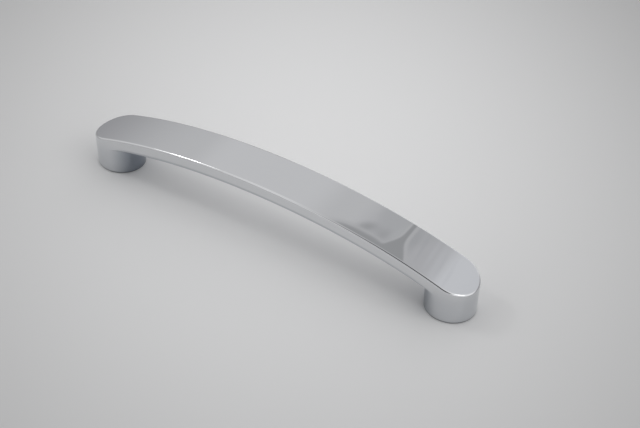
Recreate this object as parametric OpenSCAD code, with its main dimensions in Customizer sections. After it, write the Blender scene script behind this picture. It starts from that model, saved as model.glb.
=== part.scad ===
// Bow handle for a drawer or cabinet door, cast in one piece.
// A flat-topped bar arches between two short round feet, and each foot
// has a blind tapped hole in its base for a screw from behind the door.
// The feet stand on z = 0 and the bar runs along x.

/* [Bar] */

// Distance between the two screw holes, mm
hole_spacing = 160; // [96:1:256]
// Width of the bar and of its round ends, mm
handle_w = 21; // [16:0.5:28]
// Height of the top face at mid span, mm
handle_h = 28; // [25:0.5:40]
// Height of the top face over each screw hole, mm
end_h = 17.15; // [15:0.05:22]
// Thickness of the bar, measured straight down, mm
bar_t = 5.8; // [4:0.1:8]
// Share of the arch that follows the fourth power, which flattens its middle
arch_square = 0.13; // [0:0.01:0.4]

/* [Feet] */

// How far each flank of a foot leans in by its base, mm
flank_in = 0.75; // [0:0.05:1.5]
// How far the end of a foot leans in by its base, mm
end_in = 0.1; // [0:0.05:1.5]

/* [Rounded edges] */

// Radius of the edge round the top face, mm
rim_r = 0.8; // [0.3:0.1:1.4]
// Radius of the lower edges of the bar, mm
edge_r = 0.7; // [0.3:0.1:1.2]
// Radius of the hollow between the underside and a foot, mm
root_r = 1.2; // [0.5:0.1:2.5]
// Radius of the edge round the base of a foot, mm
base_r = 0.4; // [0.1:0.1:1]

/* [Screw holes] */

// Bore drilled for the M4 thread, mm
tap_d = 3.3; // [2.5:0.1:5]
// Depth of the full bore below the base, mm
tap_depth = 11; // [8:0.5:12]
// Angle of the drill point at the end of the bore, degrees
drill_point = 118; // [90:1:140]
// Width of the countersunk ring round the mouth, mm
sink_w = 0.75; // [0.3:0.05:1.5]

/* [Hidden] */

half_span = hole_spacing / 2;
half_w = handle_w / 2;
// the rim ends at this height over the screw hole, where the wall starts
rim_z = end_h - rim_r;
lean = flank_in / rim_z;

// facets across a rounded edge, round the end, and along each stretch
turn_steps = 4;
cap_steps = 15;
mid_steps = 15;
side_steps = 8;
face_steps = 4;

// the underside is shaped round the foot from this station on
hand_x = half_span - 1.6 * half_w;
// angles at the screw axis: 0 is outward, 90 the side, 180 inward
corner_a = 180 - atan(half_w / (half_span - hand_x));
first_a = 104;
turns = [for (k = [0:turn_steps]) 90 * k / turn_steps];
cap_a = [for (k = [0:cap_steps]) 90 - 90 * k / cap_steps];
side_a = [for (k = [1:side_steps]) corner_a - (corner_a - first_a) * k / side_steps];
face_a = [for (k = [0:face_steps]) 180 - (180 - corner_a) * k / face_steps];
ray_a = concat(face_a, side_a);
mid_x = [for (k = [0:mid_steps]) hand_x * k / mid_steps];
side_x = concat(mid_x, [for (a = side_a) half_span + half_w / tan(a)]);

// Piece to draw

function last(v) = v[len(v) - 1];
function flat_list(v) = [for (part = v) each part];

// height of the top face and of the underside at a station along the bar
function z_top(x) =
    let (s = pow(x / half_span, 2))
    handle_h - (handle_h - end_h) * ((1 - arch_square) * s + arch_square * s * s);
function z_bot(x) = z_top(x) - bar_t;

// rounded edge round the top face, from the top down to the wall
function rim_column(x, y, nx, ny) = [
    for (t = turns)
        let (k = rim_r * (1 - sin(t)), px = x - nx * k)
        [px, y - ny * k, z_top(px) - rim_r * (1 - cos(t))]
];
function side_rim(x) = rim_column(x, half_w, 0, 1);
function cap_rim(a) =
    rim_column(half_span + half_w * cos(a), half_w * sin(a), cos(a), sin(a));

// side of the bar at a height, leaning in below the rim like the feet
function side_y(x, z) = half_w - lean * (z_top(x) - rim_r - z);

// wall of a foot: straight lines from its base to the outline above
function foot_point(a, z) =
    let (
        cap_x = half_span + half_w * cos(a),
        wall_z = a <= 90 ? z_top(cap_x) - rim_r : rim_z,
        below = 1 - z / wall_z
    )
    [
        half_span + (half_w - end_in * below) * cos(a),
        (half_w - flank_in * below) * sin(a),
        z
    ];

// rounded edge round the base, from the wall in to the base
function base_column(a) = [
    for (t = turns)
        let (k = base_r * (1 - cos(t)))
        foot_point(a, base_r * (1 - sin(t))) - [k * cos(a), k * sin(a), 0]
];

// room between a foot and the side of the bar, along a ray from the screw
// axis: where it closes, the lower edge and the hollow run out to nothing
function room(a) = half_w / sin(a) - half_w;
function edge_at(a) = min(edge_r, 0.45 * room(a) * sin(a));
function root_at(a) = a <= corner_a ? min(root_r, 0.45 * room(a)) : root_r;

// rounded lower edge of the bar, from its side in to the underside
function edge_column(x) =
    let (r = edge_at(90 + atan((half_span - x) / half_w)))
    [
        for (t = turns)
            let (z = z_bot(x) + r * (1 - sin(t)))
            [x, side_y(x, z) - r * (1 - cos(t)), z]
    ];

// hollow from the underside in to the wall of a foot
function root_column(a) =
    let (
        r = root_at(a),
        corner = foot_point(a, z_bot(half_span + half_w * cos(a)))
    )
    [
        for (t = turns)
            let (k = r * (1 - sin(t)), px = corner[0] + k * cos(a))
            [px, corner[1] + k * sin(a), z_bot(px) - r * (1 - cos(t))]
    ];

// where a ray from the screw axis leaves the flat of the underside
function ray_end(a) =
    a <= corner_a
    ? last(edge_column(half_span + half_w / tan(a)))
    : let (e = last(edge_column(hand_x)))
      [hand_x, e[1] * tan(180 - a) / tan(180 - corner_a), e[2]];

// the point where the foot runs into the side of the bar
meet = foot_point(90, z_bot(half_span));
meet_column = [for (t = turns) meet];

// One quarter of the surface, with x and y above 0. Rows follow one another
// toward the end of the bar, and each row runs from the middle of the top
// over the side and the underside, and down the foot to the screw axis.
rims = concat(
    [for (x = side_x) side_rim(x)],
    [for (a = cap_a) cap_rim(a)]
);
tops = [for (c = rims) [[c[0][0], 0, c[0][2]], c[0]]];
side_walls = concat(
    [for (x = side_x) [last(side_rim(x)), edge_column(x)[0]]],
    [[last(cap_rim(90)), meet]]
);
side_edges = concat([for (x = side_x) edge_column(x)], [meet_column]);
under = [
    for (k = [0:mid_steps - 1])
        [last(edge_column(mid_x[k])), [mid_x[k], 0, z_bot(mid_x[k])]]
];
under_rays = concat([for (a = ray_a) [ray_end(a), root_column(a)[0]]], [[meet, meet]]);
roots = concat([for (a = ray_a) root_column(a)], [meet_column]);
inner_walls = concat(
    [for (a = ray_a) [last(root_column(a)), base_column(a)[0]]],
    [[meet, base_column(90)[0]]]
);
outer_walls = [for (a = cap_a) if (a < 90) [last(cap_rim(a)), base_column(a)[0]]];
base_edges = [for (a = concat(ray_a, cap_a)) base_column(a)];
bases = [for (c = base_edges) [last(c), [half_span, 0, 0]]];

// triangles of a grid of points, leaving out those that shrink to a line
function skin(g) = [
    for (i = [0:len(g) - 2], j = [0:len(g[i]) - 2])
        for (t = [
            [g[i][j], g[i + 1][j + 1], g[i + 1][j]],
            [g[i][j], g[i][j + 1], g[i + 1][j + 1]]
        ])
            if (t[0] != t[1] && t[1] != t[2] && t[0] != t[2]) t
];

// the last strip of the underside opens out to all the rays
under_fan =
    let (inner = last(under))
    concat(
        [[inner[0], inner[1], ray_end(corner_a)]],
        [
            for (k = [1:face_steps])
                [inner[1], ray_end(face_a[k - 1]), ray_end(face_a[k])]
        ]
    );

// the first strip of the outer wall also takes in the meeting point
wall_start =
    let (high = outer_walls[0][0], low = outer_walls[0][1])
    [
        [last(cap_rim(90)), meet, high],
        [meet, base_column(90)[0], low],
        [meet, low, high]
    ];

quarter = concat(
    skin(tops),
    skin(rims),
    skin(side_walls),
    skin(side_edges),
    skin(under),
    under_fan,
    skin(under_rays),
    skin(roots),
    skin(inner_walls),
    wall_start,
    skin(outer_walls),
    skin(base_edges),
    skin(bases)
);

// a copy turned over in one axis runs its triangles the other way round
function mirrored(v, sx, sy) = [
    for (t = v)
        let (m = [for (p = t) [sx * p[0], sy * p[1], p[2]]])
        sx * sy > 0 ? m : [m[0], m[2], m[1]]
];
surface = flat_list([for (sx = [1, -1], sy = [1, -1]) mirrored(quarter, sx, sy)]);

// the bar and both feet as they leave the mould
module casting() {
    polyhedron(
        points = flat_list(surface),
        faces = [for (k = [0:len(surface) - 1]) [3 * k, 3 * k + 1, 3 * k + 2]]
    );
}

// blind hole drilled for the thread, with its countersunk mouth
module screw_hole() {
    point_h = tap_d / 2 / tan(drill_point / 2);
    past = 1;
    cylinder(d = tap_d, h = tap_depth, $fn = 48);
    translate([0, 0, tap_depth])
        cylinder(d1 = tap_d, d2 = 0, h = point_h, $fn = 48);
    translate([0, 0, -past])
        cylinder(r1 = tap_d / 2 + sink_w + past, r2 = tap_d / 2, h = sink_w + past, $fn = 48);
}

module handle() {
    color([0.78, 0.79, 0.8])
        difference() {
            casting();
            for (side = [-1, 1])
                translate([side * half_span, 0, 0])
                    screw_hole();
        }
}

handle();
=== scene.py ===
# %% [markdown]
# # A chrome cabinet handle
#
# This lesson dresses one imported CAD part: a bow handle for a drawer or a
# cabinet door. The real one is cast in zinc alloy in a steel mould, buffed,
# and plated with copper, nickel and a last thin coat of chrome. A mirror
# shows every facet, so the lesson is mostly about two things: a surface that
# is truly smooth, and a studio that is worth mirroring.
#
# The CAD part arrives as a fixed frame, in metres, with its feet on z = 0.

import math

import bmesh
import bpy
from mathutils import Matrix, Vector


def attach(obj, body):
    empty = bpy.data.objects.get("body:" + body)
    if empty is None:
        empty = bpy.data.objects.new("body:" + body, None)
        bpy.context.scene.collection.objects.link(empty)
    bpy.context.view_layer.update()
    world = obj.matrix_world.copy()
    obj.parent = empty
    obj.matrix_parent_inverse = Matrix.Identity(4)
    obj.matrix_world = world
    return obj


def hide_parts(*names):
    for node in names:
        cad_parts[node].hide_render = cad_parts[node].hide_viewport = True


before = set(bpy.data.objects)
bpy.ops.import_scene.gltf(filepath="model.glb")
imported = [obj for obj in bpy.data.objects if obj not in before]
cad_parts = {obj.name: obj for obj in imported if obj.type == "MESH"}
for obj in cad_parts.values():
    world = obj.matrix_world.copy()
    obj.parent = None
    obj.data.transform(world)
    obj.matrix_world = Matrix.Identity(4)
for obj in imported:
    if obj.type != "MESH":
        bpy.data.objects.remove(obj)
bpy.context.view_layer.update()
MM = 0.001

# %% [markdown]
# ## The sizes of the casting
#
# The frame's mesh has flat facets, which is right for measuring and
# collision and wrong for a mirror. Smoothing its shading would still leave a
# kinked outline. So the same surface is worked out again here from the same
# sizes and the same curves, only much finer, and this mesh stands for the
# CAD node. All sizes are in millimetres, as a drawing would give them.

# %% Sizes
HOLE_SPACING = 160
HANDLE_W = 21
HANDLE_H = 28
END_H = 17.15
BAR_T = 5.8
ARCH_SQUARE = 0.13
FLANK_IN = 0.75
END_IN = 0.1
RIM_R = 0.8
EDGE_R = 0.7
ROOT_R = 1.2
BASE_R = 0.4

half_span = HOLE_SPACING / 2
half_w = HANDLE_W / 2
rim_z = END_H - RIM_R
lean = FLANK_IN / rim_z
print("length over all:", HOLE_SPACING + HANDLE_W, "mm, finger room:", HANDLE_H - BAR_T, "mm")

# %% [markdown]
# ## The arch and its upper edge
#
# The top face is flat across and arches along the bar. Its height falls from
# mid span with the square of the distance and, for a small share, with its
# fourth power, which flattens the middle. A spline with handles could follow
# that by eye, but a formula gives exact heights and exact slopes anywhere.
#
# Each rounded edge is a short column of points that turns through 90
# degrees. `t` runs along it, from 0 where the edge leaves one face to 90
# where it has become the next.

# %% The arch
TURN_STEPS = 10
turns = [90 * k / TURN_STEPS for k in range(TURN_STEPS + 1)]


def sin_d(degrees):
    return math.sin(math.radians(degrees))


def cos_d(degrees):
    return math.cos(math.radians(degrees))


def tan_d(degrees):
    return math.tan(math.radians(degrees))


def top_height(x):
    s = (x / half_span) ** 2
    return HANDLE_H - (HANDLE_H - END_H) * ((1 - ARCH_SQUARE) * s + ARCH_SQUARE * s * s)


def under_height(x):
    return top_height(x) - BAR_T


def rim_column(x, y, nx, ny):
    """The edge round the top face, from the top down to the wall."""
    column = []
    for t in turns:
        inset = RIM_R * (1 - sin_d(t))
        px = x - nx * inset
        column.append((px, y - ny * inset, top_height(px) - RIM_R * (1 - cos_d(t))))
    return column


def side_rim(x):
    return rim_column(x, half_w, 0, 1)


def end_rim(a):
    return rim_column(half_span + half_w * cos_d(a), half_w * sin_d(a), cos_d(a), sin_d(a))


print("top face over the screws:", round(top_height(half_span), 2), "mm")

# %% [markdown]
# ## The feet and the lower edges
#
# Each foot is a round post that narrows a little toward its base, so that
# the casting leaves its mould. Angles are measured round the screw axis: 0
# points outward along the bar, 90 to its side and 180 inward.
#
# Where a foot runs out into the side of the bar, the lower edge and the
# hollow at the root have less and less room, and die out to nothing. A bevel
# modifier can't do that, since its width is one number, so the radius
# shrinks here with the room that is left.

# %% Feet, lower edges and roots
FAN_LENGTH = 1.6 * half_w
ROOM_SHARE = 0.45

# the underside fans out round the foot from this station on
fan_x = half_span - FAN_LENGTH
corner_a = 180 - math.degrees(math.atan(half_w / FAN_LENGTH))


def foot_point(a, z):
    """A point of the foot's wall at an angle and a height."""
    end_x = half_span + half_w * cos_d(a)
    wall_z = top_height(end_x) - RIM_R if a <= 90 else rim_z
    below = 1 - z / wall_z
    return (
        half_span + (half_w - END_IN * below) * cos_d(a),
        (half_w - FLANK_IN * below) * sin_d(a),
        z,
    )


def base_column(a):
    """The edge round the base, from the wall in to the base."""
    column = []
    for t in turns:
        x, y, z = foot_point(a, BASE_R * (1 - sin_d(t)))
        inset = BASE_R * (1 - cos_d(t))
        column.append((x - inset * cos_d(a), y - inset * sin_d(a), z))
    return column


def room(a):
    """Room between the foot and the side of the bar, along a ray from the screw."""
    return half_w / sin_d(a) - half_w


def edge_radius(a):
    return min(EDGE_R, ROOM_SHARE * room(a) * sin_d(a))


def root_radius(a):
    return min(ROOT_R, ROOM_SHARE * room(a)) if a <= corner_a else ROOT_R


def edge_column(x):
    """The lower edge of the bar, from its side in to the underside."""
    r = edge_radius(90 + math.degrees(math.atan((half_span - x) / half_w)))
    column = []
    for t in turns:
        z = under_height(x) + r * (1 - sin_d(t))
        side_y = half_w - lean * (top_height(x) - RIM_R - z)
        column.append((x, side_y - r * (1 - cos_d(t)), z))
    return column


def root_column(a):
    """The hollow from the underside in to the wall of the foot."""
    r = root_radius(a)
    cx, cy, _ = foot_point(a, under_height(half_span + half_w * cos_d(a)))
    column = []
    for t in turns:
        k = r * (1 - sin_d(t))
        px = cx + k * cos_d(a)
        column.append((px, cy + k * sin_d(a), under_height(px) - r * (1 - cos_d(t))))
    return column


meet = foot_point(90, under_height(half_span))
print("a foot meets the side of the bar at", [round(v, 2) for v in meet], "mm")

# %% [markdown]
# ## The tapped holes
#
# A screw comes up into each foot from behind the door. The hole is drilled
# 3.3 mm wide, countersunk at its mouth and tapped M4, which leaves a groove
# with a pitch of 0.7 mm. A screw modifier could sweep a tooth round, but it
# would end in loose ends inside the metal. Here the wall of the hole is one
# grid instead, and the groove only changes its radius, so the casting stays
# one closed skin. The flanks of the groove are a little flatter than the 60
# degrees of a real thread, since rows of points 0.1 mm apart have to show
# them.

# %% Tapped holes
TAP_D = 3.3
THREAD_D = 4.0
THREAD_PITCH = 0.7
TAP_DEPTH = 11
RUN_OUT = 1.4
BLIND_END = 0.4
FLANK_SHARE = 0.38
FLAT_BOTTOM = 1.15
SINK_W = 0.75
DRILL_POINT = 118
HOLE_STEPS = 110

tap_r = TAP_D / 2
mouth_r = tap_r + SINK_W
point_z = TAP_DEPTH + tap_r / tan_d(DRILL_POINT / 2)


def groove(angle, z):
    """How deep the thread cuts into the wall of the bore, at an angle and a height."""
    phase = (z / THREAD_PITCH - angle / 360) % 1
    cut = min(1, max(0, FLAT_BOTTOM - abs(phase - 0.5) / FLANK_SHARE))
    fade = min(1, max(0, (TAP_DEPTH - BLIND_END - z) / RUN_OUT))
    return (THREAD_D - TAP_D) / 2 * cut * fade


def hole_column(angle):
    """Radius and height up the wall of a hole, from its mouth to the drill's point."""
    column = []
    for k in range(HOLE_STEPS + 1):
        z = TAP_DEPTH * k / HOLE_STEPS
        column.append((max(mouth_r - z, tap_r + groove(angle, z)), z))
    column.append((0, point_z))
    return column


print("turns of thread in each foot:", round(TAP_DEPTH / THREAD_PITCH, 1))

# %% [markdown]
# ## Rows of points over one quarter
#
# The handle is the same end for end and side to side, so one quarter is
# enough. It is covered by patches, and a patch is a list of rows. Every row
# runs from the middle of the top, over the side and the underside and down
# the foot to the hole. Neighbouring rows of a patch have the same number of
# points, so four points always make a quad, and patches that touch share
# the points of their border.

# %% Stations along the bar and round a foot
MID_STEPS = 56
SIDE_STEPS = 20
FACE_STEPS = 10
END_STEPS = 30
RAY_STEPS = 5
# the ray next to the line where the foot meets the side of the bar
LAST_RAY = 96

mid_x = [fan_x * k / MID_STEPS for k in range(MID_STEPS + 1)]
side_a = [corner_a - (corner_a - LAST_RAY) * k / SIDE_STEPS for k in range(1, SIDE_STEPS + 1)]
face_a = [180 - (180 - corner_a) * k / FACE_STEPS for k in range(FACE_STEPS + 1)]
end_a = [90 - 90 * k / END_STEPS for k in range(END_STEPS + 1)]
ray_a = face_a + side_a
side_x = mid_x + [half_span + half_w / tan_d(a) for a in side_a]
# shares of the half width at which the rays cross the station fan_x
shares = [tan_d(180 - a) / tan_d(180 - corner_a) for a in reversed(face_a)]
print("stations along the bar:", len(side_x) + len(end_a) - 1)
print("stations round half a foot:", len(ray_a + end_a))

# %% Patches of the quarter
def across_underside(x):
    """A row of the underside, from the lower edge to the middle."""
    _, edge_y, _ = edge_column(x)[-1]
    return [(x, edge_y * share, under_height(x)) for share in shares]


def along_underside(a):
    """A row of the underside along a ray, up to where the hollow starts."""
    if a <= corner_a:
        x0, y0, _ = edge_column(half_span + half_w / tan_d(a))[-1]
    else:
        x0 = fan_x
        y0 = edge_column(fan_x)[-1][1] * tan_d(180 - a) / tan_d(180 - corner_a)
    x1, y1, _ = root_column(a)[0]
    steps = [k / RAY_STEPS for k in range(RAY_STEPS + 1)]
    line = [(x0 + (x1 - x0) * s, y0 + (y1 - y0) * s) for s in steps]
    return [(x, y, under_height(x)) for x, y in line]


rims = [side_rim(x) for x in side_x] + [end_rim(a) for a in end_a]
patches = {
    "top": [[(c[0][0], 0, c[0][2]), c[0]] for c in rims],
    "rim": rims,
    "side": [[side_rim(x)[-1], edge_column(x)[0]] for x in side_x],
    "lower edge": [edge_column(x) for x in side_x],
    "underside": [across_underside(x) for x in mid_x],
    "underside by the foot": [along_underside(a) for a in ray_a],
    "root": [root_column(a) for a in ray_a],
    "inner wall": [[root_column(a)[-1], base_column(a)[0]] for a in ray_a],
    "outer wall": [[end_rim(a)[-1], foot_point(a, meet[2]), base_column(a)[0]] for a in end_a],
    "base edge": [base_column(a) for a in ray_a + end_a],
}
# where the foot meets the side of the bar, these patches end in one point or line
patches["side"].append([end_rim(90)[-1], meet])
patches["lower edge"].append([meet] * len(turns))
patches["underside by the foot"].append([meet] * (RAY_STEPS + 1))
patches["root"].append([meet] * len(turns))
patches["inner wall"].append([meet, base_column(90)[0]])
for name, rows in patches.items():
    print(f"{name}: {len(rows)} rows of {len(rows[0])}")

# %% [markdown]
# ## One closed skin
#
# bmesh takes the patches quad by quad. A quad whose corners fall together,
# as they do where an edge dies out, becomes a triangle or is left out. The
# quarter is mirrored to the other three, and points that patches share are
# merged.
#
# The holes are the exception to the mirroring: a mirrored thread would be
# left-handed, so each hole's wall is made in place, from the true angle. Its
# faces get the second material slot, for the bare metal.

# %% Build the casting
MERGE = 0.0002 * MM
HOLE_SLOT = 1


def add_strip(mesh, low, high):
    """Quads between two rows of vertices, leaving out corners that fall together."""
    made = []
    for k in range(len(low) - 1):
        kept = []
        for corner in (low[k], low[k + 1], high[k + 1], high[k]):
            if all((corner.co - other.co).length > MERGE for other in kept):
                kept.append(corner)
        if len(kept) > 2:
            made.append(mesh.faces.new(kept))
    return made


def add_rows(mesh, rows):
    grid = [[mesh.verts.new(Vector(p) * MM) for p in row] for row in rows]
    strips = [add_strip(mesh, low, high) for low, high in zip(grid, grid[1:])]
    return [face for strip in strips for face in strip]


casting = bmesh.new()
for sign_x in (1, -1):
    for sign_y in (1, -1):
        for rows in patches.values():
            mirrored = [[(sign_x * x, sign_y * y, z) for x, y, z in row] for row in rows]
            add_rows(casting, mirrored)

half_a = ray_a + end_a
round_a = sorted(set(half_a + [-a for a in half_a if 0 < a < 180]))
hole_faces = []
for sign_x in (1, -1):
    bases = []
    holes = []
    for a in round_a + [round_a[0]]:
        column = hole_column(a if sign_x > 0 else 180 - a)
        x, y, z = base_column(abs(a))[-1]
        mouth = (sign_x * (half_span + mouth_r * cos_d(a)), mouth_r * sin_d(a), 0)
        bases.append([(sign_x * x, math.copysign(y, a), z), mouth])
        wall = [(sign_x * (half_span + r * cos_d(a)), r * sin_d(a), h) for r, h in column]
        holes.append(wall)
    add_rows(casting, bases)
    hole_faces += add_rows(casting, holes)
for face in hole_faces:
    face.material_index = HOLE_SLOT

bmesh.ops.remove_doubles(casting, verts=casting.verts, dist=MERGE)
bmesh.ops.recalc_face_normals(casting, faces=casting.faces)
open_edges = sum(1 for edge in casting.edges if len(edge.link_faces) != 2)
loose = [vert for vert in casting.verts if not vert.link_faces]
volume = casting.calc_volume() / MM**3
print("open edges:", open_edges, "loose points:", len(loose))
print("volume:", round(volume / 1000, 2), "cm3")

# %% [markdown]
# ## Smooth shading that knows which face matters
#
# Smooth shading averages the directions of the faces round a point. At the
# border of a rounded edge that would tip the wide face toward the edge, and
# a mirror shows such a tip as a bent reflection. The Weighted Normal
# modifier lets the larger face win, which is how polished models of hard
# parts are usually shaded. The mouth of the hole and its thread are truly
# sharp, so edges there are marked before.

# %% Object with weighted normals
SHARP_ANGLE = math.radians(32)
LARGER_FACE_WEIGHT = 100

for face in casting.faces:
    face.smooth = True
handle_mesh = bpy.data.meshes.new("handle_casting")
casting.to_mesh(handle_mesh)
casting.free()
handle_mesh.set_sharp_from_angle(angle=SHARP_ANGLE)
handle = bpy.data.objects.new("handle_casting", handle_mesh)
bpy.context.scene.collection.objects.link(handle)
weighted = handle.modifiers.new("larger_face_wins", "WEIGHTED_NORMAL")
weighted.weight = LARGER_FACE_WEIGHT
weighted.keep_sharp = True
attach(handle, "root")
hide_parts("handle")
print("triangles:", sum(len(p.vertices) - 2 for p in handle_mesh.polygons))

# %% [markdown]
# ## Writing a material
#
# Colours are written as in a paint program, in sRGB hex, and one function
# turns them to the linear values that a shader adds up. One more function
# adds a node: a number or colour is set on a socket, and another node's
# output is linked to it.

# %% Colour and node helpers
def linear(hex_colour):
    """A #RRGGBB colour as linear RGBA."""
    channels = [int(hex_colour[i : i + 2], 16) / 255 for i in (1, 3, 5)]
    return [c / 12.92 if c <= 0.04045 else ((c + 0.055) / 1.055) ** 2.4 for c in channels] + [1.0]


def add_node(tree, kind, inputs=None, **settings):
    """A node with its settings, and with each named input set or linked."""
    node = tree.nodes.new(kind)
    for name, value in settings.items():
        setattr(node, name, value)
    for socket, value in (inputs or {}).items():
        if isinstance(value, bpy.types.NodeSocket):
            tree.links.new(value, node.inputs[socket])
        else:
            node.inputs[socket].default_value = value
    return node


def new_material(name):
    material = bpy.data.materials.new(name)
    material.use_nodes = True
    material.node_tree.nodes.clear()
    return material, material.node_tree


def finish_material(tree, shader):
    add_node(tree, "ShaderNodeOutputMaterial", {"Surface": shader.outputs["BSDF"]})


print("#808080 is", round(linear("#808080")[0], 3), "of white as light")

# %% [markdown]
# ## Chrome over buffed zinc
#
# Decorative chrome is a coat of about 0.3 micrometres over bright nickel. It
# is so thin that it copies what is under it: the long, low waves that the
# buffing wheel leaves in a casting, and hairlines along the way the wheel
# ran. The waves are 9 to 25 mm long and a few micrometres high, which bends
# a reflection a little without showing as a dent. Real hairlines are a few
# hundredths of a millimetre apart and wouldn't show at this distance, so
# they are drawn 0.5 mm apart and very shallow.
#
# Both are noise textures, the second stretched along the bar. One Bump node
# hands its normal to the next, so the hairlines lie on the waves.

# %% Buffing waves and hairlines
WAVE_LENGTH = 17 * MM
WAVE_HEIGHT = 0.003 * MM
HAIRLINE_GAP = 0.5 * MM
HAIRLINE_STRETCH = 40
HAIRLINE_HEIGHT = 0.00008 * MM

chrome, tree = new_material("chrome_plate_buffed")
place = add_node(tree, "ShaderNodeTexCoord").outputs["Object"]
waves = add_node(
    tree,
    "ShaderNodeTexNoise",
    {"Vector": place, "Scale": 1 / WAVE_LENGTH, "Detail": 1.0, "Roughness": 0.35},
)
along = add_node(
    tree,
    "ShaderNodeMapping",
    {"Vector": place, "Scale": (1 / HAIRLINE_STRETCH, 1, 1)},
)
hairlines = add_node(
    tree,
    "ShaderNodeTexNoise",
    {"Vector": along.outputs["Vector"], "Scale": 1 / HAIRLINE_GAP, "Detail": 2.0},
)
wave_bump = add_node(
    tree,
    "ShaderNodeBump",
    {"Height": waves.outputs[0], "Distance": WAVE_HEIGHT, "Strength": 1.0},
)
hair_bump = add_node(
    tree,
    "ShaderNodeBump",
    {
        "Height": hairlines.outputs[0],
        "Distance": HAIRLINE_HEIGHT,
        "Strength": 1.0,
        "Normal": wave_bump.outputs["Normal"],
    },
)
print("waves", round(WAVE_HEIGHT / MM * 1000, 1), "micrometres high")

# %% [markdown]
# ## Where the wheel doesn't reach, and painted shade
#
# Some places are duller or darker, and all are found from the shape alone.
# The wheel doesn't reach the underside, which stays rougher. The side of
# each foot that faces the other foot, the hollows at the roots and the
# rounded edges that face down are darker in colour: painted shade, for the
# shaded paper under the bar that they mirror.
#
# A vertex group or a painted mask could mark them. The way that a spot faces
# says the same without any painting: a Map Range node turns it into a mask
# from 0 to 1. The flat underside is taken out of the mask, since it mirrors
# the paper as brightly as the top mirrors the room.

# %% Masks from the way a spot faces
BUFFED_ROUGHNESS = 0.02
UNBUFFED_ROUGHNESS = 0.13
WHEEL_REACH = (-0.85, -0.35)
# painted shade on the side of each foot that faces the other foot
INNER_SIDE_SHADE = (-0.1, -1.0)
# painted shade where a rounded edge or a root hollow faces down
UNDERCUT_SHADE = (-0.03, -0.6)
FLAT_UNDERSIDE = (-0.995, -0.9)

facing = add_node(
    tree,
    "ShaderNodeSeparateXYZ",
    {"Vector": add_node(tree, "ShaderNodeNewGeometry").outputs["Normal"]},
)
roughness = add_node(
    tree,
    "ShaderNodeMapRange",
    {
        "Value": facing.outputs["Z"],
        "From Min": WHEEL_REACH[0],
        "From Max": WHEEL_REACH[1],
        "To Min": UNBUFFED_ROUGHNESS,
        "To Max": BUFFED_ROUGHNESS,
    },
    interpolation_type="SMOOTHSTEP",
)
spot = add_node(tree, "ShaderNodeSeparateXYZ", {"Vector": place})
end_sign = add_node(tree, "ShaderNodeMath", {0: spot.outputs["X"]}, operation="SIGN")
outward = add_node(
    tree,
    "ShaderNodeMath",
    {0: facing.outputs["X"], 1: end_sign.outputs[0]},
    operation="MULTIPLY",
)
# mask of painted shade on the side of a foot that faces the other foot
inward_painted_shade = add_node(
    tree,
    "ShaderNodeMapRange",
    {"Value": outward.outputs[0], "From Min": INNER_SIDE_SHADE[0], "From Max": INNER_SIDE_SHADE[1]},
    interpolation_type="SMOOTHSTEP",
)
# mask of painted shade where a rounded edge or a root hollow faces down
downward_painted_shade = add_node(
    tree,
    "ShaderNodeMapRange",
    {"Value": facing.outputs["Z"], "From Min": UNDERCUT_SHADE[0], "From Max": UNDERCUT_SHADE[1]},
    interpolation_type="SMOOTHSTEP",
)
off_the_flat = add_node(
    tree,
    "ShaderNodeMapRange",
    {
        "Value": facing.outputs["Z"],
        "From Min": FLAT_UNDERSIDE[0],
        "From Max": FLAT_UNDERSIDE[1],
    },
    interpolation_type="SMOOTHSTEP",
)
print("roughness", BUFFED_ROUGHNESS, "buffed and", UNBUFFED_ROUGHNESS, "underneath")

# %% [markdown]
# ## The line along the lower edge
#
# Between the feet the lower edge of the bar shows as a thin darker line,
# where it mirrors the shadow under the bar, and that line is painted shade.
# It runs at an even depth below the top face, so Math nodes work out the
# height of the arch over each spot by the formula that gave the casting its
# shape, and take the spot's own height from it.

# %% Depth below the top face
# painted shade: a thin dark line along the lower edge, between the feet
SHADE_LINE_DEPTH = (4.0 * MM, 5.0 * MM)
SHADE_LINE_STRENGTH = 0.45
SHADE_LINE_ENDS = (67 * MM, 76 * MM)

span_share = add_node(
    tree,
    "ShaderNodeMath",
    {0: spot.outputs["X"], 1: half_span * MM},
    operation="DIVIDE",
)
share_squared = add_node(
    tree,
    "ShaderNodeMath",
    {0: span_share.outputs[0], 1: 2.0},
    operation="POWER",
)
bend = add_node(
    tree,
    "ShaderNodeMath",
    {0: share_squared.outputs[0], 1: ARCH_SQUARE, 2: 1 - ARCH_SQUARE},
    operation="MULTIPLY_ADD",
)
fall = add_node(
    tree,
    "ShaderNodeMath",
    {0: share_squared.outputs[0], 1: bend.outputs[0]},
    operation="MULTIPLY",
)
arch_z = add_node(
    tree,
    "ShaderNodeMath",
    {0: fall.outputs[0], 1: (END_H - HANDLE_H) * MM, 2: HANDLE_H * MM},
    operation="MULTIPLY_ADD",
)
depth = add_node(
    tree,
    "ShaderNodeMath",
    {0: arch_z.outputs[0], 1: spot.outputs["Z"]},
    operation="SUBTRACT",
)
shade_near_lower_edge = add_node(
    tree,
    "ShaderNodeMapRange",
    {
        "Value": depth.outputs[0],
        "From Min": SHADE_LINE_DEPTH[0],
        "From Max": SHADE_LINE_DEPTH[1],
        "To Max": SHADE_LINE_STRENGTH,
    },
    interpolation_type="SMOOTHSTEP",
)
from_middle = add_node(tree, "ShaderNodeMath", {0: spot.outputs["X"]}, operation="ABSOLUTE")
between_feet = add_node(
    tree,
    "ShaderNodeMapRange",
    {"Value": from_middle.outputs[0], "From Min": SHADE_LINE_ENDS[1], "From Max": SHADE_LINE_ENDS[0]},
    interpolation_type="SMOOTHSTEP",
)
# mask of the painted shade line along the lower edge
painted_shade_line = add_node(
    tree,
    "ShaderNodeMath",
    {0: shade_near_lower_edge.outputs["Result"], 1: between_feet.outputs["Result"]},
    operation="MULTIPLY",
)
print("the line is strongest", round(SHADE_LINE_DEPTH[1] / MM, 1), "mm below the top face")
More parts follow.
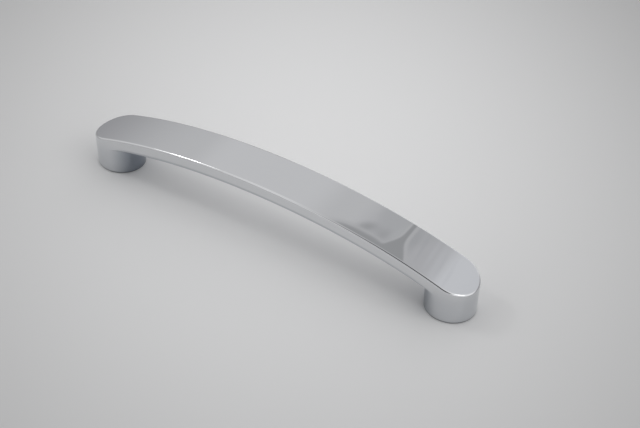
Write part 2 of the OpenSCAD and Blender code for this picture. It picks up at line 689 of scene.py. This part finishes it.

# %% [markdown]
# ## The colours of the plating, and painted shade
#
# Chrome mirrors about seven tenths of the light, with a cold, bluish cast.
# Principled gives it with metallic 1 and a pale blue-grey base colour, and
# the masks blend that with darker colours of painted shade. The feet are
# darker low down, for the contact shadow that they mirror, and the recesses
# and the lower edge darkest, for the shaded paper under the bar. The base is
# ground flat last, so its face is bare grey metal, and the dark line round
# its edge is painted shade where it meets the paper.

# %% Chrome plate, buffed
CHROME_COLOUR = "#DDDEE0"
# painted shade: the feet darker low down, for the contact shadow they mirror
FOOT_SHADE_COLOUR = "#D2D4D7"
# painted shade: the colour of the recesses, for the shaded paper they mirror
RECESS_SHADE_COLOUR = "#969CA5"
# the ground base face, and painted contact shadow up the edge above it
GROUND_AND_SHADE_COLOUR = "#6C6F74"
FOOT_SHADE_BLEND = (9 * MM, 17 * MM)
GROUND_AND_SHADE_LINE = (0.15 * MM, 0.9 * MM)

# painted shade under the rounded edges, the roots and along the lower edge
lower_edge_painted_shade = add_node(
    tree,
    "ShaderNodeMath",
    {0: downward_painted_shade.outputs["Result"], 1: painted_shade_line.outputs[0]},
    operation="MAXIMUM",
)
edge_shade_off_flat = add_node(
    tree,
    "ShaderNodeMath",
    {0: lower_edge_painted_shade.outputs[0], 1: off_the_flat.outputs["Result"]},
    operation="MULTIPLY",
)
# painted shade in the recesses, the root hollows and along the lower edge
recess_painted_shade = add_node(
    tree,
    "ShaderNodeMath",
    {0: inward_painted_shade.outputs["Result"], 1: edge_shade_off_flat.outputs[0]},
    operation="MAXIMUM",
)
# painted shade: the feet blend to the darker foot colour below the bar
up_the_foot = add_node(
    tree,
    "ShaderNodeMapRange",
    {"Value": spot.outputs["Z"], "From Min": FOOT_SHADE_BLEND[0], "From Max": FOOT_SHADE_BLEND[1]},
    interpolation_type="SMOOTHSTEP",
)
open_tone = add_node(
    tree,
    "ShaderNodeMix",
    {0: up_the_foot.outputs["Result"], 6: linear(FOOT_SHADE_COLOUR), 7: linear(CHROME_COLOUR)},
    data_type="RGBA",
)
# the chrome colour with the painted shade of the recesses mixed in
plating_with_painted_shade = add_node(
    tree,
    "ShaderNodeMix",
    {0: recess_painted_shade.outputs[0], 6: open_tone.outputs[2], 7: linear(RECESS_SHADE_COLOUR)},
    data_type="RGBA",
)
# the bare ground base face, and a painted contact shadow line up its edge
over_base = add_node(
    tree,
    "ShaderNodeMapRange",
    {"Value": spot.outputs["Z"], "From Min": GROUND_AND_SHADE_LINE[0], "From Max": GROUND_AND_SHADE_LINE[1]},
    interpolation_type="SMOOTHSTEP",
)
base_tone = add_node(
    tree,
    "ShaderNodeMix",
    {0: over_base.outputs["Result"], 6: linear(GROUND_AND_SHADE_COLOUR), 7: plating_with_painted_shade.outputs[2]},
    data_type="RGBA",
)
shader = add_node(
    tree,
    "ShaderNodeBsdfPrincipled",
    {
        "Base Color": base_tone.outputs[2],
        "Metallic": 1.0,
        "Roughness": roughness.outputs["Result"],
        "Normal": hair_bump.outputs["Normal"],
    },
)
finish_material(tree, shader)
handle_mesh.materials.append(chrome)
# the second value is the painted shade colour of the recesses
print("chrome reflects", round(linear(CHROME_COLOUR)[1], 2), "of green light,")
print("and", round(linear(RECESS_SHADE_COLOUR)[1], 2), "where it is thin")

# %% [markdown]
# ## Cut zinc alloy in the holes
#
# The holes are drilled and tapped after plating, so their walls are the
# bare alloy: greyer, duller, and marked by rings where the tool turned. The
# rings of a tap are about 0.1 mm apart, and a wave texture along the depth
# of the hole gives them.

# %% Zinc alloy, tapped
ZINC_COLOUR = "#A9ABAE"
ZINC_ROUGHNESS = 0.38
TOOL_RING = 0.12 * MM
RING_HEIGHT = 0.004 * MM
# a Wave texture with scale 1 has a band every 0.314 m
WAVE_BAND = 0.314

zinc, tree = new_material("zinc_alloy_tapped")
place = add_node(tree, "ShaderNodeTexCoord").outputs["Object"]
rings = add_node(
    tree,
    "ShaderNodeTexWave",
    {"Vector": place, "Scale": WAVE_BAND / TOOL_RING, "Distortion": 1.5},
    bands_direction="Z",
)
ring_bump = add_node(
    tree,
    "ShaderNodeBump",
    {"Height": rings.outputs["Fac"], "Distance": RING_HEIGHT, "Strength": 1.0},
)
shader = add_node(
    tree,
    "ShaderNodeBsdfPrincipled",
    {
        "Base Color": linear(ZINC_COLOUR),
        "Metallic": 1.0,
        "Roughness": ZINC_ROUGHNESS,
        "Normal": ring_bump.outputs["Normal"],
    },
)
finish_material(tree, shader)
handle_mesh.materials.append(zinc)
print("materials on the casting:", [m.name for m in handle_mesh.materials])

# %% [markdown]
# ## The paper underneath, with painted light
#
# The handle lies on smooth matt paper. A large plane with a diffuse finish
# is enough, since the soft shadows say that it is there. A pool of light is
# painted on the paper: it is a little brighter behind the middle and falls
# off to its edges, faster one way than the other, which an oval blend round a
# point of the floor gives. The painted light is fixed to the floor, so it
# stays put when the camera goes round.

# %% Floor
FLOOR_SIZE = 6
# painted pool of light: the paper's colour in the light and outside it
PAPER_IN_PAINTED_LIGHT = "#FCFCFC"
PAPER_OUT_OF_PAINTED_LIGHT = "#AAAAAA"
# where the painted light is brightest, how far it reaches each way, its turn
PAINTED_LIGHT_CENTRE = (-17 * MM, 55 * MM, 0)
PAINTED_LIGHT_FALL_OFF = (291 * MM, 404 * MM)
PAINTED_LIGHT_TURN = 33
PAPER_ROUGHNESS = 0.9
PAPER_SHINE = 0.2
PAPER_GRAIN = 0.6 * MM
GRAIN_HEIGHT = 0.01 * MM

bpy.ops.mesh.primitive_plane_add(size=FLOOR_SIZE)
floor = bpy.context.object
floor.name = "paper_floor"
paper, tree = new_material("matt_paper")
place = add_node(tree, "ShaderNodeTexCoord").outputs["Object"]
from_painted_light = add_node(
    tree,
    "ShaderNodeMapping",
    {
        "Vector": place,
        "Location": PAINTED_LIGHT_CENTRE,
        "Rotation": (0, 0, math.radians(PAINTED_LIGHT_TURN)),
        "Scale": (*PAINTED_LIGHT_FALL_OFF, 1),
    },
    vector_type="TEXTURE",
)
distance = add_node(tree, "ShaderNodeVectorMath", {0: from_painted_light.outputs[0]}, operation="LENGTH")
# painted light: 0 at its centre and 1 where it has faded out
painted_light_blend = add_node(
    tree,
    "ShaderNodeMapRange",
    {"Value": distance.outputs["Value"]},
    interpolation_type="SMOOTHSTEP",
)
# the paper's colour with the painted pool of light
tone = add_node(
    tree,
    "ShaderNodeMix",
    {0: painted_light_blend.outputs["Result"], 6: linear(PAPER_IN_PAINTED_LIGHT), 7: linear(PAPER_OUT_OF_PAINTED_LIGHT)},
    data_type="RGBA",
)
grain = add_node(
    tree,
    "ShaderNodeTexNoise",
    {"Vector": place, "Scale": 1 / PAPER_GRAIN, "Detail": 3.0},
)
grain_bump = add_node(
    tree,
    "ShaderNodeBump",
    {"Height": grain.outputs[0], "Distance": GRAIN_HEIGHT, "Strength": 1.0},
)
shader = add_node(
    tree,
    "ShaderNodeBsdfPrincipled",
    {
        "Base Color": tone.outputs[2],
        "Roughness": PAPER_ROUGHNESS,
        "Specular IOR Level": PAPER_SHINE,
        "Normal": grain_bump.outputs["Normal"],
    },
)
finish_material(tree, shader)
floor.data.materials.append(paper)
print("floor:", FLOOR_SIZE, "m square")

# %% [markdown]
# ## The studio as the chrome sees it
#
# Chrome has almost no colour of its own: what reads as light or dark on it
# is the room. So the world isn't one flat grey. It starts as a room that
# goes from a dim horizon to a pale ceiling, and other tones are laid over it.
#
# A picked photograph of a room would do the same, but no picture file comes
# with the part, and a few patches are easier to tune. Every ray sees the
# same room, so a low view has it as its background too.

# %% From the horizon to the ceiling
HORIZON = "#A7A7A9"
CEILING = "#CBCBCC"
CEILING_BLEND = (0.1, 0.5)

world = bpy.data.worlds.new("studio_room")
bpy.context.scene.world = world
world.use_nodes = True
tree = world.node_tree
tree.nodes.clear()
direction = add_node(tree, "ShaderNodeTexCoord").outputs["Generated"]
axes = add_node(tree, "ShaderNodeSeparateXYZ", {"Vector": direction}).outputs
up_the_wall = add_node(
    tree,
    "ShaderNodeMapRange",
    {"Value": axes["Z"], "From Min": CEILING_BLEND[0], "From Max": CEILING_BLEND[1]},
    interpolation_type="SMOOTHSTEP",
)


def lay_over(tone, mask, colour):
    """The room's tone with a colour laid over it where the mask is 1."""
    over = add_node(
        tree,
        "ShaderNodeMix",
        {0: mask, 6: tone, 7: linear(colour)},
        data_type="RGBA",
    )
    return over.outputs[2]


room_tone = lay_over(linear(HORIZON), up_the_wall.outputs["Result"], CEILING)
print("the room goes from", HORIZON, "to", CEILING)

# %% [markdown]
# ## Walls, ceiling and lamps as round patches
#
# Soft-edged patches are laid over the room, each named for what it would be
# in a real studio. A patch is round and sits at a compass angle and a height
# above the horizon, both seen from the handle: 0 degrees is behind it, along
# +Y, and 90 is along +X. Two more angles say how far it is plain from its
# centre, and where it has faded out. The angle from the centre needs only a
# dot product, so a patch costs three nodes.

# %% Round patches
def toward(compass, height_angle):
    """The direction of a spot in the studio, seen from the handle."""
    flat = cos_d(height_angle)
    return Vector((flat * sin_d(compass), flat * cos_d(compass), sin_d(height_angle)))


def round_mask(compass, height_angle, inner, outer):
    """1 inside one angle from a spot of the studio, and 0 outside the other."""
    nearness = add_node(
        tree,
        "ShaderNodeVectorMath",
        {0: direction, 1: toward(compass, height_angle)},
        operation="DOT_PRODUCT",
    )
    mask = add_node(
        tree,
        "ShaderNodeMapRange",
        {"Value": nearness.outputs["Value"], "From Min": cos_d(outer), "From Max": cos_d(inner)},
        interpolation_type="SMOOTHSTEP",
    )
    return mask.outputs["Result"]


STUDIO = {
    "white wall in front": (180, 5, 30, 72, "#FFFFFF"),
    "pale wall on the left": (-112, 16, 22, 46, "#D6D6D6"),
    "white wall on the right": (100, 20, 25, 55, "#FFFFFF"),
    "white ceiling on the left": (-84, 70, 8, 24, "#F8F8F8"),
    "dim middle of the ceiling": (-15, 80, 8, 22, "#BCBCBE"),
    "glow round the left lamp": (-104, 46, 5, 20, "#EEEEEE"),
    "glow round the right lamp": (84, 43, 12, 50, "#FFFFFF"),
    "white wall behind, low down": (-2, 18, 16, 27, "#FFFFFF"),
    "lit wall at the back": (-35, 37.5, 6.5, 12, "#D5D5D6"),
    "lit wall on the far right": (24, 44, 3, 25, "#D9DADD"),
    "shade at the back": (-5, 48.5, 4, 10, "#BEBEC0"),
    "camera and the dark behind it": (164, 44, 18, 40, "#3E4044"),
}
for name, (compass, height_angle, inner, outer, colour) in STUDIO.items():
    room_tone = lay_over(room_tone, round_mask(compass, height_angle, inner, outer), colour)
    print("studio:", name, "at", compass, height_angle)

# %% [markdown]
# ## A chart for the finer things
#
# The top face bends along the bar and is flat across. A millimetre along it
# turns the mirrored spot by about 0.7 degrees, and a millimetre across it by
# only 0.08. Round patches are too coarse for what shows there, so the part
# of the room behind the handle gets a chart: the compass angle runs across
# it, and the height runs up it, stretched nine times round 47 degrees. On
# the chart a shape keeps about the outline that it has on the bar.

# %% The chart
CHART_HEIGHT = 47
CHART_STRETCH = 9

compass_turn = add_node(tree, "ShaderNodeMath", {0: axes["X"], 1: axes["Y"]}, operation="ARCTAN2")
compass_angle = add_node(tree, "ShaderNodeMath", {0: compass_turn.outputs[0]}, operation="DEGREES")
height_turn = add_node(tree, "ShaderNodeMath", {0: axes["Z"]}, operation="ARCSINE")
height_degrees = add_node(tree, "ShaderNodeMath", {0: height_turn.outputs[0]}, operation="DEGREES")
stretched = add_node(
    tree,
    "ShaderNodeMath",
    {0: height_degrees.outputs[0], 1: CHART_STRETCH, 2: -CHART_HEIGHT * CHART_STRETCH},
    operation="MULTIPLY_ADD",
)
chart = add_node(
    tree,
    "ShaderNodeCombineXYZ",
    {"X": compass_angle.outputs[0], "Y": stretched.outputs[0]},
).outputs[0]
print("one step of the chart is 1 degree across and", round(1 / CHART_STRETCH, 2), "degrees up")

# %% [markdown]
# ## Folds in the cloth
#
# White cloth hangs behind the handle, in two sheets. A fold is a long soft
# oval on the chart, with a centre, two half lengths and a turn. Then comes
# the share of it that is plain, how strongly it covers, and its colour. A
# Mapping node of the texture type brings the chart into the oval's own
# frame, where the distance from the centre is 1 at its border.

# %% Folds
FOLDS = {
    "left sheet in its own shade": ((-7, -7), 15, 8, 76, 0.75, 0.55, "#B7B8B9"),
    "fold by the corner": ((-10.9, 3), 6.5, 2.6, 66, 0, 0.65, "#A8A9AA"),
    "fold along the border": ((-15, -3), 6, 2.4, 59, 0, 0.85, "#A6A7A8"),
    "right sheet behind its hem": ((-4, 3), 11, 2.4, 84, 0.1, 0.75, "#B0B1B3"),
    "pale pleat by the middle": ((2.2, 4), 12, 1.2, 84, 0, 0.4, "#C9CACD"),
    "dark side of a pleat": ((6.2, 3), 12, 1.3, 82, 0, 0.3, "#BDBEC2"),
    "pale side of a pleat": ((4.6, 3), 12, 1.5, 82, 0, 0.35, "#CDCED2"),
    "pleat on the far right": ((9.6, 0), 12, 1, 80, 0, 0.3, "#C9CACE"),
    "faint pleat": ((-1.2, 3), 12, 0.9, 82, 0.2, 0.4, "#B3B4B7"),
    "pale edge of the left sheet": ((-8.2, 2), 7, 1.9, 103, 0.1, 0.7, "#BEBFC0"),
}
for name, (centre, half_long, half_wide, turn, plain, strength, colour) in FOLDS.items():
    own = add_node(
        tree,
        "ShaderNodeMapping",
        {
            "Vector": chart,
            "Location": (*centre, 0),
            "Rotation": (0, 0, math.radians(turn)),
            "Scale": (half_long, half_wide, 1),
        },
        vector_type="TEXTURE",
    )
    off_centre = add_node(tree, "ShaderNodeVectorMath", {0: own.outputs[0]}, operation="LENGTH")
    mask = add_node(
        tree,
        "ShaderNodeMapRange",
        {
            "Value": off_centre.outputs["Value"],
            "From Min": plain,
            "From Max": 1,
            "To Min": strength,
            "To Max": 0,
        },
        interpolation_type="SMOOTHSTEP",
    )
    room_tone = lay_over(room_tone, mask.outputs["Result"], colour)
    print("cloth:", name, "at", centre)

# %% [markdown]
# ## The borders of the two sheets
#
# The pale curves on the right of the top face are the hems of the sheets,
# and the dark wedge is the gap between them. A sheet is what lies to the
# right of a few straight borders, and Math's smooth minimum rounds the
# corners where they meet. Each sheet has its borders, the rounding of its
# corners and the width of its hem.

# %% Sheets and hems
HEM_COLOUR = "#C1C1C2"
HEM_SOFT = (-0.2, 0.25)
HEM_STRENGTH = 0.8
HEM_FADE = (1.2, 0.5)
GAP_REGION = (-9, 48, 6, 12)
SHEETS = {
    "left sheet": (
        [
            ((-19.8, -10), (-15, 0.3)),
            ((-15, 0.3), (-9.8, 7.8)),
            ((-9.3, 7.9), (-7.4, 4.8)),
            ((-7, 4), (-6.9, 0)),
        ],
        1.6,
        0.7,
    ),
    "right sheet": ([((-5.7, 0), (-5.6, 6)), ((-5.3, 7.2), (-2.6, 13.2))], 2, 1),
}


def past_border(start, stop):
    """How far a spot of the chart lies to the right of a straight border."""
    run = Vector(stop) - Vector(start)
    right_side = Vector((run.y, -run.x)).normalized()
    reach = add_node(
        tree,
        "ShaderNodeVectorMath",
        {0: chart, 1: (*right_side, 0)},
        operation="DOT_PRODUCT",
    )
    past = add_node(
        tree,
        "ShaderNodeMath",
        {0: reach.outputs["Value"], 1: right_side.dot(Vector(start))},
        operation="SUBTRACT",
    )
    return past.outputs[0]


near_gap = round_mask(*GAP_REGION)
insides = []
for name, (borders, corner, hem_width) in SHEETS.items():
    inside = past_border(*borders[0])
    for border in borders[1:]:
        inside = add_node(
            tree,
            "ShaderNodeMath",
            {0: inside, 1: past_border(*border), 2: corner},
            operation="SMOOTH_MIN",
        ).outputs[0]
    starts = add_node(
        tree,
        "ShaderNodeMapRange",
        {
            "Value": inside,
            "From Min": HEM_SOFT[0],
            "From Max": HEM_SOFT[1],
            "To Max": HEM_STRENGTH,
        },
        interpolation_type="SMOOTHSTEP",
    )
    ends = add_node(
        tree,
        "ShaderNodeMapRange",
        {
            "Value": inside,
            "From Min": HEM_FADE[0] * hem_width,
            "From Max": HEM_FADE[1] * hem_width,
        },
        interpolation_type="SMOOTHSTEP",
    )
    hem = near_gap
    for part in (starts, ends):
        hem = add_node(
            tree,
            "ShaderNodeMath",
            {0: hem, 1: part.outputs["Result"]},
            operation="MULTIPLY",
        ).outputs[0]
    room_tone = lay_over(room_tone, hem, HEM_COLOUR)
    insides.append(inside)
    print("cloth:", name, "with", len(borders), "borders")

# %% [markdown]
# ## The gap between the sheets
#
# The larger of the two results says how far inside a sheet a spot is. Below
# zero it is in the gap, where the darker room behind the cloth shows. That
# is the last tone of the room, which then goes to the world's output.

# %% Gap and world output
GAP_COLOUR = "#A3A4A5"
GAP_SOFT = (-0.35, 0.15)

on_cloth = add_node(
    tree,
    "ShaderNodeMath",
    {0: insides[0], 1: insides[1]},
    operation="MAXIMUM",
).outputs[0]
off_cloth = add_node(
    tree,
    "ShaderNodeMapRange",
    {"Value": on_cloth, "From Min": GAP_SOFT[1], "From Max": GAP_SOFT[0]},
    interpolation_type="SMOOTHSTEP",
)
gap = add_node(
    tree,
    "ShaderNodeMath",
    {0: off_cloth.outputs["Result"], 1: near_gap},
    operation="MULTIPLY",
)
room_tone = lay_over(room_tone, gap.outputs[0], GAP_COLOUR)
glow = add_node(tree, "ShaderNodeBackground", {"Color": room_tone, "Strength": 1.0})
add_node(tree, "ShaderNodeOutputWorld", {"Surface": glow.outputs["Background"]})
print("nodes in the world:", len(tree.nodes))

# %% [markdown]
# ## Two lamps
#
# The highlight along the near rim and the one on the right end come from two
# round lamps, one on each side and at about 45 degrees. Together they also
# draw the short shadows beside the feet. Each has a small bright middle in a
# wider, dim cloth, as a real soft lamp has, so a highlight ends softly. Disc
# lamps are used, because chrome mirrors their outline. A lamp is given by
# the angle that it fills and by how bright it looks, and its power follows
# from that.

# %% Lamps
LAMP_DISTANCE = 0.9
LAMP_AIM = Vector((0, 0, 10 * MM))
LAMPS = {
    "lamp_left": (-104, 46.5, 7, 9.5),
    "lamp_left_cloth": (-104, 46.5, 15, 1.5),
    "lamp_right": (83, 42, 6.5, 1.4),
    "lamp_right_cloth": (80, 42, 20, 1.0),
}
for name, (compass, height_angle, angle, radiance) in LAMPS.items():
    light = bpy.data.lights.new(name, "AREA")
    light.shape = "DISK"
    light.size = 2 * LAMP_DISTANCE * tan_d(angle / 2)
    area = math.pi * light.size**2 / 4
    light.energy = radiance * math.pi * area
    lamp = bpy.data.objects.new(name, light)
    bpy.context.scene.collection.objects.link(lamp)
    outward_way = toward(compass, height_angle)
    lamp.location = LAMP_AIM + outward_way * LAMP_DISTANCE
    lamp.rotation_euler = outward_way.to_track_quat("Z", "Y").to_euler()
    print(name, "power", round(light.energy, 2), "W, width", round(light.size, 3), "m")

# %% [markdown]
# ## The camera
#
# The view is from the front right and above, close enough that the near foot
# looks larger than the far one. The camera is placed by what it looks at,
# its distance, its two angles and a small tilt, so each can be changed
# without the others. The lens follows from the focal length in pixels of a
# frame 640 pixels wide.

# %% Camera
FRAME_W = 640
SENSOR = 36
FOCAL_PX = 1453.35
LOOK_AT = Vector((15.658, 7.209, 10)) * MM
DISTANCE = 580.83 * MM
COMPASS = 31.758
RISE = 40.086
TILT = 1.889
NEAR_CLIP = 10 * MM

back = toward(180 - COMPASS, RISE)
level = (-back).cross(Vector((0, 0, 1))).normalized()
upright = level.cross(-back)
right = level * cos_d(TILT) + upright * sin_d(TILT)
up = upright * cos_d(TILT) - level * sin_d(TILT)
lens = bpy.data.cameras.new("camera")
lens.sensor_width = SENSOR
lens.lens = FOCAL_PX / FRAME_W * SENSOR
lens.clip_start = NEAR_CLIP
camera = bpy.data.objects.new("camera", lens)
bpy.context.scene.collection.objects.link(camera)
camera_axes = Matrix((right, up, back)).transposed().to_4x4()
camera.matrix_world = Matrix.Translation(LOOK_AT + back * DISTANCE) @ camera_axes
bpy.context.scene.camera = camera
print("lens", round(lens.lens, 2), "mm, eye", [round(v / MM, 1) for v in camera.location])

# %% [markdown]
# ## Colour
#
# The Standard view transform shows a colour as it was mixed.

# %% Finish
bpy.context.scene.view_settings.view_transform = "Standard"
